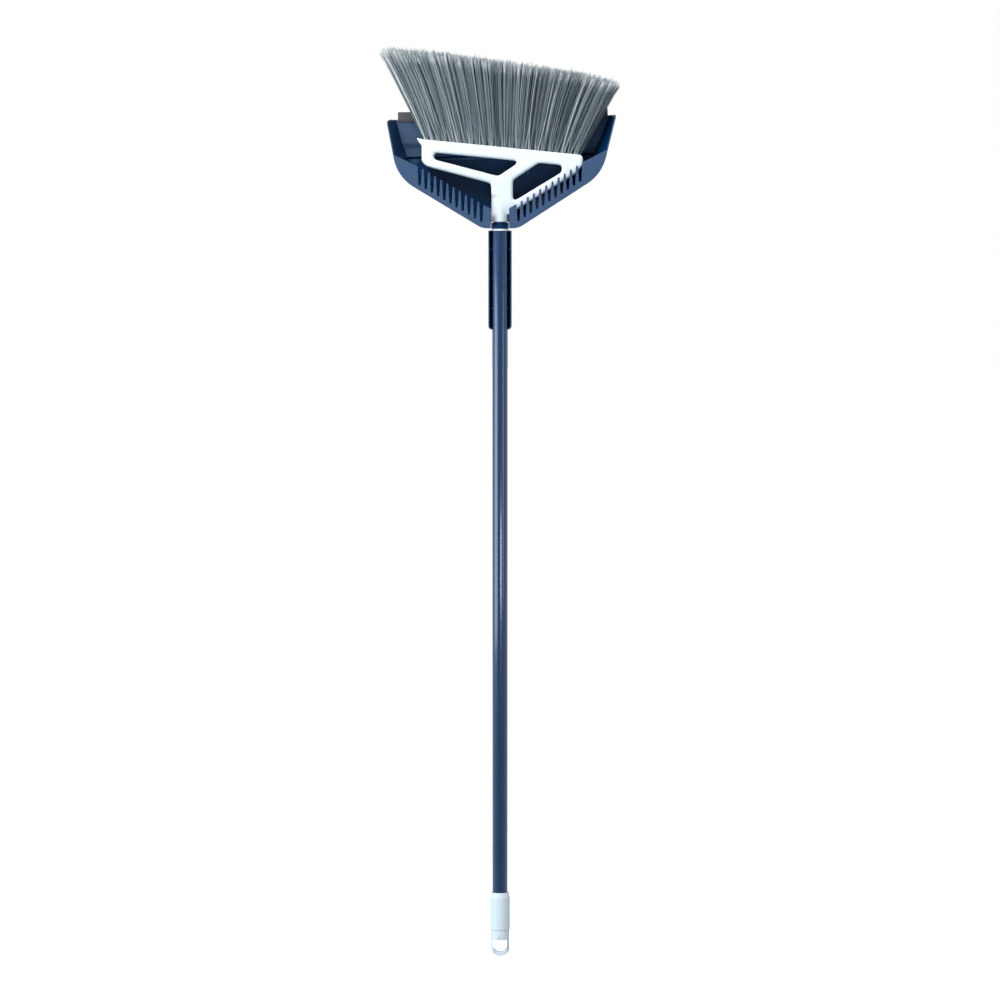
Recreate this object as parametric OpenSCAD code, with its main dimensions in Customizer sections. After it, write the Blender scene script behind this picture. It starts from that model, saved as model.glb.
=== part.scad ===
// Angle broom with a snap-on dustpan, standing head up.
// X runs across the head, Y runs from front to back and Z runs up the pole.
// The origin is on the pole's axis, halfway up the steel tube.

/* [Pole] */
// Outside diameter of the steel tube
tube_d = 22; // [20:0.5:24]
// Wall of the steel tube
tube_wall = 0.7; // [0.4:0.1:1.5]
// Length of the steel tube
tube_len = 967; // [700:1:1300]

/* [Threaded tip] */
// Outside diameter of the thread
thread_d = 19; // [16:0.1:22]
// Height of the thread
thread_len = 24; // [15:0.5:40]
// Rise of the thread in one turn
thread_pitch = 5; // [3:0.1:8]
// Depth of the thread groove
thread_depth = 2; // [1:0.1:3]
// Height of the collar between the tube and the head
collar_h = 8.7; // [4:0.1:16]
// Length of the plug inside the tube
plug_len = 38; // [20:1:60]
// Thickness of the spacer ring under the collar
ring_t = 2.8; // [1:0.1:5]

/* [Hang cap] */
// Wall of the cap around the tube
cap_wall = 3.15; // [2:0.05:5]
// Depth to which the tube enters the cap
cap_grip_len = 37.5; // [20:0.5:60]
// Length of the cap below the tube's end, loop included
cap_tail_len = 52.5; // [45:0.5:80]
// Width of the hanging hole
loop_hole_w = 19; // [12:0.5:20]
// Height of the hanging hole
loop_hole_h = 18.5; // [12:0.5:24]
// Material under the hanging hole
loop_rim = 5; // [3:0.1:8]
// Thickness of the loop from front to back at its end
loop_t = 17; // [10:0.5:24]

/* [Head frame] */
// Distance from the pole's axis to the left end of the bristle bar
head_left = 108.8; // [90:0.1:130]
// Distance from the pole's axis to the right end of the bristle bar
head_right = 116; // [95:0.1:135]
// Height of the root line above the end of the socket, on the pole's axis
root_h = 104.6; // [95:0.1:130]
// Height of the bristle bar
bar_h = 16.6; // [12:0.1:22]
// Thickness of the bristle bar from front to back
bar_depth = 36; // [34:0.5:50]
// Thickness of the frame from front to back at the end of the socket
frame_foot_depth = 16; // [12:0.5:17]
// Width of the two lower arms
arm_w = 12.3; // [8:0.1:16]
// Width of the slanted strut between the windows
strut_w = 15.5; // [8:0.1:20]
// Width of the post at the left end
post_w = 16.8; // [10:0.1:24]
// Radius of the post's outer corner
post_corner_r = 12; // [8:0.5:16]
// Width of the solid right end of the frame
end_w = 29.6; // [20:0.1:34]
// Radius of the bar's upper right corner
end_corner_r = 8; // [4:0.5:10]
// Wall of the threaded socket
neck_wall = 2.5; // [1.5:0.1:4]
// Radius of the frame's corners in the front view
frame_corner_r = 3; // [1:0.1:4]

/* [Bristles] */
// Number of tuft columns along the bar
tuft_columns = 24; // [16:1:26]
// Distance between tuft rows from front to back
row_pitch = 8; // [7.5:0.1:9]
// Diameter of a tuft hole
tuft_hole_d = 6.2; // [5:0.1:7]
// Depth of a tuft hole
tuft_hole_depth = 10; // [7:0.5:12]
// Reach of the bristle tips to the left of the axis
fan_left = 160; // [120:1:180]
// Reach of the bristle tips to the right of the axis
fan_right = 161; // [120:1:185]
// Height of the bristle tips above the end of the socket, on the axis
tip_h = 226; // [180:1:260]
// Droop of the tip line at its two ends
tip_droop = 5; // [0:0.5:12]
// Reach of the bristle tips from the middle to the front and to the back
fan_depth = 20; // [14:0.5:21]
// Radius of a strand at its root
strand_r = 0.75; // [0.4:0.05:0.9]
// Radius of a strand at its tip
strand_tip_r = 0.55; // [0.3:0.05:0.8]

/* [Dustpan tray] */
// Wall of the dustpan
tray_wall = 2.2; // [1.5:0.1:3]
// Room between the right end of the head and the front edge of the side wall
tray_side_room = 45; // [35:0.5:60]
// Height of the tray's mouth above the end of the socket
mouth_h = 146.3; // [130:0.1:165]
// Depth of the tray's point below the end of the socket
point_drop = 8.6; // [6:0.1:12]
// Radius of the tray's lower corners at its front edge
tray_corner_r = 60; // [50:0.5:64]
// Radius of the tray's point at its front edge
point_r = 26; // [22:0.5:32]
// How far the rear wall and the lower corners slope in towards the floor
rear_slope_in = 17; // [8:0.5:20]
// How far the left wall slopes in towards the floor at the mouth
left_slope_in = 11.5; // [6:0.5:18]
// How far the right wall slopes in towards the floor at the mouth
right_slope_in = 7.5; // [4:0.5:18]
// How much less the left wall flares at the mouth than the right wall
left_flare_in = 4; // [0:0.5:8]
// Gap between the head's front and the comb plate
hood_gap = 2.6; // [2:0.1:4]
// Gap between the head's back and the deep floor
floor_gap = 9; // [8.5:0.1:14]
// Gap between the head's back and the crest of the ramp
crest_gap = 3; // [2:0.1:4]

/* [Dustpan comb] */
// Number of slots on each side
comb_slots = 11; // [6:1:12]
// Distance between two slots across the pan
slot_pitch = 8.54; // [7.5:0.01:9]
// Length of a tooth
tooth_len = 24.4; // [14:0.1:28]
// Width of a slot at its closed end
slot_root_w = 2.7; // [2:0.1:3.2]
// Width of a slot at the tips of the teeth
slot_tip_w = 5.6; // [4:0.1:6]

/* [Dustpan handle] */
// Length of the handle below the tray
handle_len = 138; // [100:1:200]
// Room between the tube and the inside of the handle
handle_room = 3; // [2:0.1:5]
// Wall of the handle
handle_wall = 2.3; // [1.5:0.1:3.5]
// Thickness of a clip rib
rib_t = 1.8; // [1:0.1:4]
// Number of clip ribs
rib_count = 3; // [2:1:5]
// Height of the relief slot between the tray and the handle
relief_h = 2.8; // [1.5:0.1:5]

/* [Rubber lip] */
// Width of the lip beyond the tray's mouth
lip_w = 10.5; // [6:0.1:16]
// Thickness of the lip at its free edge
lip_edge_t = 1.2; // [0.8:0.1:2]

/* [Clearances] */
// Gap round a pressed-in piece
fit_gap = 0.05; // [0.03:0.01:0.1]
// Gap between the tip and the socket of the head
socket_gap = 0.3; // [0.2:0.05:0.5]
// Gap between the tube and the clip ribs
clip_gap = 0.3; // [0.2:0.05:0.6]
// Gap between the socket and the notch in the dustpan
notch_gap = 0.3; // [0.2:0.1:1]

/* [Hidden] */
$fn = 48;
overrun = 1;

// Pole
tube_r = tube_d / 2;
tube_top = tube_len / 2;
plug_d = tube_d - 2 * tube_wall - 2 * fit_gap;
neck_d = thread_d + 2 * socket_gap + 2 * neck_wall;
head_z = tube_top + ring_t + collar_h + socket_gap;
thread_turns = thread_len / thread_pitch;
thread_slices_per_turn = 8;
thread_sides = 16;

// Hang cap
cap_r = tube_r + fit_gap + cap_wall;
cap_top = -tube_top + cap_grip_len;
cap_bottom = -tube_top - cap_tail_len;
cap_shoulder_h = 7;
cap_shoulder_in = 1.6;
cap_end_spare = 0.4;
hole_r = loop_hole_w / 2;
hole_bottom = cap_bottom + loop_rim;
hole_top = hole_bottom + loop_hole_h;
loop_neck_h = 14;
loop_top = hole_top + loop_neck_h;
loop_step = 0.7;

// Head frame, measured from the end of the socket
root_slope_share = 0.0976;
root_angle = atan(root_slope_share);
left_arm_slope_share = 0.26;
left_arm_axis_h = 57.1;
right_arm_slope_share = 0.605;
right_arm_axis_h = 10.4;
end_cut_w = 9.5;
end_cut_h = 13;
strut_foot_h = 56.2;
strut_head_h = 84.1;
strut_head_x = 42;
strut_run_on = 11;
shoulder_x = 17.9;
shoulder_foot_h = 11;
shoulder_top_h = 60;
socket_end_room = 3;
socket_depth = thread_len + socket_end_room;
neck_root_h = 36;
neck_round_h = 48;
neck_top_h = 60;
neck_fade_in = 3;
fin_reach = 7.5;
fin_rise = 2.2;
fin_h = 9;
fin_root = 1.5;

// Bristles
tuft_rows = 4;
strands_per_tuft = 4;
tuft_margin = 9.3;
tuft_r = 1.7;
tip_slope_share = 0.14;
slice_t = 1.2;
slice_gap = 0.4;
bridge_w = 4;
plug_gap = 0.2;
anchor_t = 0.6;
anchor_h = 1.6;
tuft_left = -(head_left - tuft_margin);
tuft_right = head_right - tuft_margin;
column_pitch = (tuft_right - tuft_left) / (tuft_columns - 1);
stagger = column_pitch / 4;
tuft_reach = stagger + tuft_r;
fan_share_x = (fan_left + fan_right) / (tuft_right - tuft_left + 2 * tuft_reach);
back_row = (tuft_rows - 1) / 2 * row_pitch;
fan_share_y = fan_depth / (back_row + tuft_r);

// Dustpan, measured from the end of the socket
lean_share = 0.022;
tray_half_w = head_right + tray_side_room;
tray_corner_in = 72.25;
tray_corner_x = tray_half_w - tray_corner_in;
tray_corner_h = 101.8;
left_mouth_r = 6;
right_mouth_r = 3.2;
past_mouth = 20;
point_half_w = 17.5;
tray_front = -(bar_depth / 2 + hood_gap + tray_wall);
floor_top = bar_depth / 2 + floor_gap;
tray_base = floor_top + tray_wall;
crest_top = bar_depth / 2 + crest_gap;
crest_back = 113;
terrace_front = 106;
terrace_back = 94;
step_run = 4;
terrace_drop = 2.4;
terrace_top = crest_top + terrace_drop;
notch_r = neck_d / 2 + notch_gap;
first_slot_x = 25.8;
first_slot_h = 2.3;
comb_slope_share = 0.613;
comb_end_x = first_slot_x + (comb_slots - 1) * slot_pitch + slot_tip_w / 2;
round_steps = 6;
hood_wall_h = 103.5;
hood_slope_share = 0.49;
centre_tooth_h = 19.3;

// Dustpan handle
rib_seat_r = tube_r + clip_gap;
handle_in_r = tube_r + handle_room;
handle_out_r = handle_in_r + handle_wall;
handle_front = -4;
handle_top = -point_drop - relief_h;
handle_end = handle_top - handle_len;
handle_end_r = 5;
spine_half_w = 9;
rib_end_share = 0.35;
rib_pitch = handle_len / (rib_count + rib_end_share);

// Rubber lip
lip_side_gap = 0.6;
lip_left = tray_half_w - left_flare_in - left_slope_in - tray_wall - lip_side_gap;
lip_right = tray_half_w - right_slope_in - tray_wall - lip_side_gap;
lip_lap = 4;
lip_lap_t = 1.2;
ramp_end_rise = 2;
lip_top = floor_top - ramp_end_rise;

tuft_names = [for (i = [1:tuft_columns]) str("tuft_column_", i < 10 ? "0" : "", i)];

// A point of the tray's outline: the tray rises a little to the right
function leaned(p) = [p.x, p.y + lean_share * p.x];
// An outline of the right half of the tray, or its counterpart on the left
function sided(side, points) = [for (k = [0:len(points) - 1])
    let (p = points[side > 0 ? k : len(points) - 1 - k]) leaned([side * p.x, p.y])];
// Direction of a vector
function unit(v) = v / norm(v);
// Height of the root line at a distance x from the pole's axis
function root_at(x) = root_h - root_slope_share * x;
// Height of the tip line at a distance x from the pole's axis
function tip_at(x) = tip_h - tip_slope_share * x - tip_droop * pow(x / fan_right, 2);
// Lower edge (-1), middle (0) or upper edge (1) of an arm at a distance x from the pole's axis
function arm_h(axis_h, slope, x, edge) = axis_h + slope * x + edge * arm_w / 2 * sqrt(1 + slope * slope);
function left_arm_h(x, edge) = arm_h(left_arm_axis_h, -left_arm_slope_share, x, edge);
function right_arm_h(x, edge) = arm_h(right_arm_axis_h, right_arm_slope_share, x, edge);
// Centre of a tuft column on the root line
function column_x(i) = tuft_left + i * column_pitch;
// Centre of a tuft: every other row is set half a pitch to the right
function tuft_x(i, j) = column_x(i) + (j % 2 == 0 ? -stagger : stagger);
// Distance of a tuft row behind the pole's axis
function row_y(j) = j * row_pitch - back_row;
// Tip of a strand whose root is x across the head and y behind the axis
function tip_x(x) = -fan_left + (x - tuft_left + tuft_reach) * fan_share_x;
function strand_tip(x, y) = [tip_x(x), y * fan_share_y, tip_at(tip_x(x))];
// Level of the ramp at a height h
function ramp_at(h) = crest_top + (lip_top - crest_top) * (h - crest_back) / (mouth_h - crest_back);
// Height of the tooth tips and of the slot ends at a distance x from the axis
function slot_end_h(x) = first_slot_h + (x - first_slot_x) * comb_slope_share;
function tooth_tip_h(x) = slot_end_h(x) + tooth_len;

// Extrudes an outline drawn in X and Z from front to back
module deep(front, back) {
    translate([0, back, 0]) rotate([90, 0, 0]) linear_extrude(back - front) children();
}

// Straight strip between two points of the front view
module strip(p, q, w) {
    run = unit(q - p);
    side = [-run.y, run.x] * w / 2;
    polygon([p + side, p - side, q - side, q + side]);
}

// Steel tube
module pole_tube() {
    color("#1f3f6b") difference() {
        translate([0, 0, -tube_top]) cylinder(r = tube_r, h = tube_len);
        translate([0, 0, -tube_top - overrun])
            cylinder(r = tube_r - tube_wall, h = tube_len + 2 * overrun);
    }
}

// Moulded tip: plug in the tube, collar under the head, and the thread in the head's socket
module threaded_tip() {
    collar_z = tube_top + ring_t;
    color("#24457a") {
        translate([0, 0, tube_top - plug_len]) cylinder(d = plug_d, h = plug_len + ring_t);
        translate([0, 0, collar_z]) cylinder(d = neck_d, h = collar_h);
        translate([0, 0, collar_z + collar_h])
            linear_extrude(thread_len, twist = -360 * thread_turns,
                slices = thread_slices_per_turn * thread_turns)
                translate([thread_depth / 2, 0]) circle(d = thread_d - thread_depth, $fn = thread_sides);
    }
}

// White ring between the tube and the tip's collar
module spacer_ring() {
    color("#eef3f8") translate([0, 0, tube_top]) difference() {
        cylinder(d = neck_d, h = ring_t);
        translate([0, 0, -overrun]) cylinder(d = plug_d + 2 * fit_gap, h = ring_t + 2 * overrun);
    }
}

// Outline of the cap and its loop in the front view
module cap_front_2d() {
    end_r = cap_r + cap_end_spare;
    translate([0, cap_bottom + end_r]) circle(r = end_r);
    translate([-end_r, cap_bottom + end_r]) square([2 * end_r, cap_top - cap_bottom]);
}

// Outline of the cap from the side: round sleeve above, thinner loop below
module cap_side_2d() {
    half_t = loop_t / 2;
    polygon([[-half_t, cap_bottom - overrun], [half_t, cap_bottom - overrun], [half_t, hole_bottom],
        [cap_r + overrun, loop_top], [cap_r + overrun, cap_top + overrun],
        [-cap_r - overrun, cap_top + overrun], [-cap_r - overrun, loop_top],
        [-half_t, hole_bottom]]);
}

// Hanging hole: round below and flat above
module loop_hole_2d() {
    intersection() {
        union() {
            translate([0, hole_bottom + hole_r]) circle(r = hole_r);
            translate([-hole_r, hole_bottom + hole_r]) square([loop_hole_w, loop_hole_h]);
        }
        translate([-hole_r, hole_bottom]) square([loop_hole_w, loop_hole_h]);
    }
}

// White cap with the hanging loop, pressed over the lower end of the tube
module hang_cap() {
    color("#dfe9ee") difference() {
        intersection() {
            rotate_extrude() polygon([[0, cap_bottom - overrun], [cap_r - loop_step, cap_bottom - overrun],
                [cap_r - loop_step, loop_top], [cap_r, loop_top], [cap_r, cap_top - cap_shoulder_h],
                [cap_r - cap_shoulder_in, cap_top], [0, cap_top]]);
            deep(-cap_r - overrun, cap_r + overrun) cap_front_2d();
            rotate([0, 0, 90]) deep(-cap_r - overrun, cap_r + overrun) cap_side_2d();
        }
        translate([0, 0, -tube_top]) cylinder(r = tube_r + fit_gap, h = cap_grip_len + overrun);
        deep(-cap_r - overrun, cap_r + overrun) loop_hole_2d();
    }
}

// Points of the bar's upper right corner, from its side to the root line
function end_corner() = let (centre_x = head_right - end_corner_r,
    centre = [centre_x, root_at(centre_x) - end_corner_r / cos(root_angle)])
    [for (k = [0:round_steps]) let (turn = (90 - root_angle) * k / round_steps)
        centre + end_corner_r * [cos(turn), sin(turn)]];

// Bristle bar in the front view
module bar_2d() {
    polygon(concat([[-head_left, root_at(-head_left)], [-head_left, root_at(-head_left) - bar_h],
        [head_right, root_at(head_right) - bar_h]], end_corner()));
}

// Scraper fin at the left end of the bar
module fin_2d() {
    corner_h = root_at(-head_left);
    root_x = -head_left + fin_root;
    inner_x = -head_left + fin_h;
    polygon([[inner_x, corner_h - fin_h], [-head_left, corner_h - fin_h],
        [-head_left - fin_reach / 2, corner_h - fin_h / 2], [-head_left - fin_reach, corner_h + fin_rise],
        [root_x, root_at(root_x)], [inner_x, root_at(inner_x)]]);
}

// Points of the post's outer corner, from its side to the lower edge of the left arm
function post_corner() = let (centre_x = -head_left + post_corner_r, fall = atan(left_arm_slope_share),
    centre = [centre_x, left_arm_h(centre_x, -1) + post_corner_r / cos(fall)])
    [for (k = [0:round_steps]) let (turn = 180 + (90 - fall) * k / round_steps)
        centre + post_corner_r * [cos(turn), sin(turn)]];

// Arms, post, strut and the root of the neck in the front view
module arms_2d() {
    post_x = -head_left + post_w;
    right_cut_x = head_right - end_cut_w;
    end_x = head_right - end_w;
    polygon(concat([[-head_left, root_at(-head_left) - bar_h / 2]], post_corner(),
        [[0, left_arm_h(0, -1)], [0, left_arm_h(0, 1)], [post_x, left_arm_h(post_x, 1)],
        [post_x, root_at(post_x) - bar_h / 2]]));
    polygon([[end_x, root_at(end_x) - bar_h / 2], [end_x, right_arm_h(end_x, 0)],
        [right_cut_x, right_arm_h(right_cut_x, 0)], [head_right, root_at(head_right) - bar_h / 2]]);
    polygon([[head_right, root_at(head_right) - bar_h / 2], [right_cut_x, right_arm_h(right_cut_x, 1)],
        [0, right_arm_h(0, 1)], [0, right_arm_h(0, -1)], [right_cut_x, right_arm_h(right_cut_x, -1)],
        [head_right, right_arm_h(right_cut_x, -1) + end_cut_h]]);
    strut_foot = [0, strut_foot_h];
    strut_head = [strut_head_x, strut_head_h];
    strip(strut_foot, strut_head + unit(strut_head - strut_foot) * strut_run_on, strut_w);
    translate([-neck_d / 2, neck_root_h]) square([neck_d, strut_foot_h - neck_root_h]);
    translate([0, shoulder_foot_h]) square([shoulder_x, shoulder_top_h - shoulder_foot_h]);
}

// Side view of the frame: it thickens from the socket up to the bar
module frame_side_2d() {
    foot = frame_foot_depth / 2;
    full = bar_depth / 2;
    full_h = root_at(head_right) - bar_h;
    polygon([[-foot, 0], [foot, 0], [full, full_h], [full + overrun, full_h], [full + overrun, 2 * root_h],
        [-full - overrun, 2 * root_h], [-full - overrun, full_h], [-full, full_h]]);
}

// Outline with its inner and outer corners rounded
module rounded(r) {
    offset(r = -r, $fn = 32) offset(delta = r) offset(r = r, $fn = 32) offset(delta = -r) children();
}

// Moves a piece to a place on the root line, square to it
module at_root(x, y) {
    translate([x, y, head_z + root_at(x)]) rotate([0, root_angle, 0]) children();
}

// Moves a hole, an anchor or a plug to its tuft
module at_tuft(i, j) {
    at_root(tuft_x(i, j), row_y(j)) children();
}

// White frame: socket, arms, strut and the bar that holds the tufts
module head_frame() {
    color("#f4f8fb") difference() {
        translate([0, 0, head_z]) {
            intersection() {
                deep(-bar_depth / 2, bar_depth / 2) {
                    rounded(frame_corner_r) intersection() {
                        union() { arms_2d(); bar_2d(); }
                        translate([-head_left, shoulder_foot_h]) square([head_left + head_right, 2 * root_h]);
                    }
                    fin_2d();
                }
                across(head_left + fin_reach + overrun, head_right + overrun) frame_side_2d();
            }
            rotate_extrude() polygon([[0, 0], [neck_d / 2, 0], [neck_d / 2, neck_round_h],
                [neck_d / 2 - neck_fade_in, neck_top_h], [0, neck_top_h]]);
        }
        translate([0, 0, head_z - overrun])
            cylinder(d = thread_d + 2 * socket_gap, h = socket_depth + overrun);
        for (i = [0:tuft_columns - 1], j = [0:tuft_rows - 1])
            at_tuft(i, j) translate([0, 0, -tuft_hole_depth])
                cylinder(d = tuft_hole_d, h = tuft_hole_depth + overrun);
    }
}

// Flat wire anchors at the bottom of the tuft holes
module tuft_anchors() {
    anchor_w = tuft_hole_d - 2 * plug_gap;
    color("#b9bec4") for (i = [0:tuft_columns - 1], j = [0:tuft_rows - 1])
        at_tuft(i, j) translate([-anchor_w / 2, -anchor_t / 2, -tuft_hole_depth])
            cube([anchor_w, anchor_t, anchor_h]);
}

// Three-sided strand that thins from its root to its tip
module strand(root, tip) {
    ring = [for (k = [0:2]) [cos(120 * k), sin(120 * k), 0]];
    polyhedron(concat([for (c = ring) root + strand_r * c], [for (c = ring) tip + strand_tip_r * c]),
        [[0, 1, 2], [5, 4, 3], [0, 4, 1], [0, 3, 4], [1, 5, 2], [1, 4, 5], [2, 3, 0], [2, 5, 3]]);
}

// One column of tufts on a slice of their backing, with a plug in each hole
module tuft_column(i) {
    slice_w = column_pitch / cos(root_angle) - slice_gap;
    slice_d = row_pitch - slice_gap;
    plug_h = tuft_hole_depth - anchor_h;
    color("#8b9397") {
        at_root(column_x(i), 0)
            translate([-bridge_w / 2, -back_row, 0]) cube([bridge_w, 2 * back_row, slice_t]);
        for (j = [0:tuft_rows - 1]) at_tuft(i, j) {
            translate([-slice_w / 2, -slice_d / 2, 0]) cube([slice_w, slice_d, slice_t]);
            translate([0, 0, -plug_h]) cylinder(d = tuft_hole_d - 2 * plug_gap, h = plug_h + slice_t / 2);
        }
        for (j = [0:tuft_rows - 1], k = [0:strands_per_tuft - 1]) {
            turn = 360 / strands_per_tuft * (k + 0.5);
            x = tuft_x(i, j) + tuft_r * cos(turn);
            y = row_y(j) + tuft_r * sin(turn);
            strand([x, y, head_z + root_at(x) + slice_t / 2], [0, 0, head_z] + strand_tip(x, y));
        }
    }
}

// Slope of the side wall in the front view: the line that touches both of its corner circles
function wall_slope(run, big_r, small_r) = tan(atan2(run.x, run.y) - asin((big_r - small_r) / norm(run)));

// Lower half of a disc
module lower_half(r) {
    intersection() {
        circle(r = r, $fn = 64);
        translate([-r, -r]) square([2 * r, r]);
    }
}

// Radius of the tray's corner at the mouth on one side, and its centre at the front (0) or at the base (1)
function mouth_corner_r(side) = side < 0 ? left_mouth_r : right_mouth_r;
function mouth_in(side, level) = side < 0 ? left_flare_in + level * left_slope_in : level * right_slope_in;
function mouth_corner(side, level) = let (r = mouth_corner_r(side))
    [tray_half_w - r - mouth_in(side, level), mouth_h - r];

// Convex body of the tray, sunk by an inset from its outside and carried on past the mouth
module tray_body(inset, front, back) {
    slab = tray_wall / 4;
    hull() for (level = [0, 1], side = [-1, 1]) {
        y = level == 0 ? front : back - slab;
        rear_in = level * rear_slope_in;
        mouth_r = mouth_corner_r(side);
        corner_r = tray_corner_r - rear_in;
        corner = [tray_corner_x, tray_corner_h];
        top = mouth_corner(side, level);
        slope = wall_slope(top - corner, corner_r, mouth_r);
        far_top = top + past_mouth * [slope, 1];
        point = [side * point_half_w, point_r - point_drop];
        deep(y, y + slab) {
            translate(leaned([side * corner.x, corner.y])) lower_half(corner_r - inset);
            translate(leaned([side * far_top.x, far_top.y])) circle(r = mouth_r - inset, $fn = 16);
            translate(point) lower_half(point_r - rear_in - inset);
        }
    }
}

// Everything below the mouth, whose corners are rounded in the front view
module below_mouth() {
    half_w = tray_half_w + tray_wall;
    hull() {
        for (side = [-1, 1]) {
            top = mouth_corner(side, 0) - [tray_wall / 8, 0];
            deep(tray_front - overrun, tray_base + overrun)
                translate(leaned([side * top.x, top.y])) circle(r = mouth_corner_r(side), $fn = 16);
        }
        deep(tray_front - overrun, tray_base + overrun)
            translate([-half_w, -tray_half_w]) square([2 * half_w, tray_half_w + hood_wall_h]);
    }
}

// Height profile of the stepped floor: ramp behind the lip, crest, terrace and deep floor
module steps_2d(sink) {
    mouth = mouth_h + 2 * lip_w;
    polygon([[floor_top + tray_wall / 2 + sink, terrace_back - step_run], [terrace_top + sink, terrace_back],
        [terrace_top + sink, terrace_front], [crest_top + sink, crest_back],
        [lip_top + sink, mouth_h], [lip_top + sink, mouth], [tray_base + sink, mouth],
        [tray_base + sink, terrace_back - step_run]]);
}

// Turns the floor's steps and the lip to the slant of the mouth
module at_lean() {
    rotate([0, -atan(lean_share), 0]) translate([lean_share * mouth_h, 0, 0]) children();
}

// Stretches a side view across the head or the tray, to distances left and right of the axis
module across(left, right) {
    translate([-left, 0, 0]) rotate([90, 0, 90]) linear_extrude(left + right) children();
}

// Half circle of points round a slot's end or a tooth's tip, from left to right
function half_round(x, h, r, rise) = [for (k = [0:round_steps])
    [x - r * cos(180 * k / round_steps), h + rise * r * sin(180 * k / round_steps)]];
// Edge of the comb plate on one side, from the notch to the side wall
function comb_edge() = let (inner_x = first_slot_x - slot_tip_w / 2, tooth_r = (slot_pitch - slot_tip_w) / 2)
    concat([[notch_r, centre_tooth_h], [inner_x, tooth_tip_h(inner_x)]],
        [for (k = [0:comb_slots - 1]) let (x = first_slot_x + k * slot_pitch, tooth_x = x + slot_pitch / 2)
            each concat(half_round(x, slot_end_h(x), slot_root_w / 2, -1),
                k < comb_slots - 1 ? half_round(tooth_x, tooth_tip_h(tooth_x) - tooth_r, tooth_r, 1) : [])],
        [[comb_end_x, hood_wall_h - (tray_half_w - comb_end_x) * hood_slope_share],
        [tray_half_w, hood_wall_h]]);

// Opening in front of the tray: everything above the comb plates
module hood_opening_2d() {
    top_h = mouth_h + tray_half_w;
    polygon(concat(sided(-1, concat(comb_edge(), [[tray_half_w, top_h]])),
        sided(1, concat(comb_edge(), [[tray_half_w, top_h]]))));
}

// Passage for the pole and the socket, open to the front
module pole_passage(r, foot, top) {
    translate([0, 0, foot]) cylinder(r = r, h = top - foot);
    translate([-r, tray_front - overrun, foot]) cube([2 * r, -tray_front + overrun, top - foot]);
}

// Tray: sloping walls, comb plate, stepped floor and the lip's tongue
module tray() {
    difference() {
        intersection() {
            tray_body(0, tray_front, tray_base);
            below_mouth();
        }
        difference() {
            tray_body(tray_wall, tray_front + tray_wall, floor_top);
            at_lean() across(tray_half_w, tray_half_w) steps_2d(0);
        }
        intersection() {
            deep(tray_front - overrun, tray_front + tray_wall + overrun) hood_opening_2d();
            tray_body(tray_wall, tray_front - overrun, floor_top);
        }
        at_lean() across(tray_corner_x, tray_corner_x) intersection() {
            steps_2d(tray_wall);
            translate([0, terrace_back - step_run + tray_wall])
                square([tray_base + overrun, mouth_h - terrace_back - 2 * lip_lap]);
        }
        pole_passage(notch_r, handle_top, centre_tooth_h + overrun);
    }
}

// Handle: a channel that clips over the back of the tube
module handle() {
    difference() {
        intersection() {
            union() {
                translate([0, 0, handle_end]) cylinder(r = handle_out_r, h = handle_len);
                translate([-handle_out_r, handle_front, handle_end])
                    cube([2 * handle_out_r, -handle_front, handle_len]);
            }
            translate([-handle_out_r, handle_front, handle_end])
                cube([2 * handle_out_r, handle_out_r - handle_front, handle_len]);
            deep(handle_front, handle_out_r) handle_front_2d();
        }
        translate([0, 0, handle_end + handle_wall]) {
            cylinder(r = handle_in_r, h = handle_len);
            translate([-handle_in_r, handle_front - overrun, 0])
                cube([2 * handle_in_r, overrun - handle_front, handle_len]);
        }
        pole_passage(rib_seat_r, handle_end - overrun, handle_top + overrun);
    }
    for (k = [1:rib_count]) translate([0, 0, handle_top - (k - rib_end_share) * rib_pitch]) difference() {
        intersection() {
            cylinder(r = handle_in_r + handle_wall / 2, h = rib_t);
            translate([-handle_out_r, 0, 0]) cube([2 * handle_out_r, handle_out_r, rib_t]);
        }
        translate([0, 0, -overrun]) cylinder(r = rib_seat_r, h = rib_t + 2 * overrun);
    }
}

// Handle in the front view, with a rounded end
module handle_front_2d() {
    half_w = handle_out_r + overrun;
    flat_half_w = handle_out_r - handle_end_r;
    translate([-half_w, handle_end + handle_end_r]) square([2 * half_w, handle_len]);
    translate([-flat_half_w, handle_end]) square([2 * flat_half_w, handle_end_r]);
    for (side = [-1, 1]) translate([side * flat_half_w, handle_end + handle_end_r]) circle(r = handle_end_r);
}

// Spine behind the tube that joins the handle to the tray's point
module spine() {
    foot = handle_top - rib_t;
    translate([0, 0, foot]) intersection() {
        difference() {
            cylinder(r = handle_out_r, h = rear_slope_in - foot);
            translate([0, 0, -overrun]) cylinder(r = handle_in_r, h = rear_slope_in - foot + 2 * overrun);
        }
        translate([-spine_half_w, 0, 0]) cube([2 * spine_half_w, handle_out_r, rear_slope_in - foot]);
    }
}

// Dustpan: tray, comb and clip-on handle in one moulding
module dustpan() {
    color("#2b4a7a") translate([0, 0, head_z]) {
        tray();
        handle();
        spine();
    }
}

// Soft lip along the tray's mouth, lapped over the end of the ramp
module dustpan_lip() {
    lip_end = mouth_h + lip_w;
    seam = mouth_h + fit_gap;
    lap = mouth_h - lip_lap;
    color("#75716f") translate([0, 0, head_z]) at_lean() across(lip_left, lip_right)
        polygon([[ramp_at(lap) - lip_lap_t, lap], [ramp_at(lap) - fit_gap, lap],
            [lip_top - fit_gap, seam], [tray_base, seam], [tray_base, lip_end],
            [tray_base - lip_edge_t, lip_end], [lip_top - lip_lap_t, mouth_h]]);
}

pole_tube();
threaded_tip();
spacer_ring();
hang_cap();
head_frame();
tuft_anchors();
dustpan();
dustpan_lip();
for (i = [0:tuft_columns - 1])
    tuft_column(i);
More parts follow.
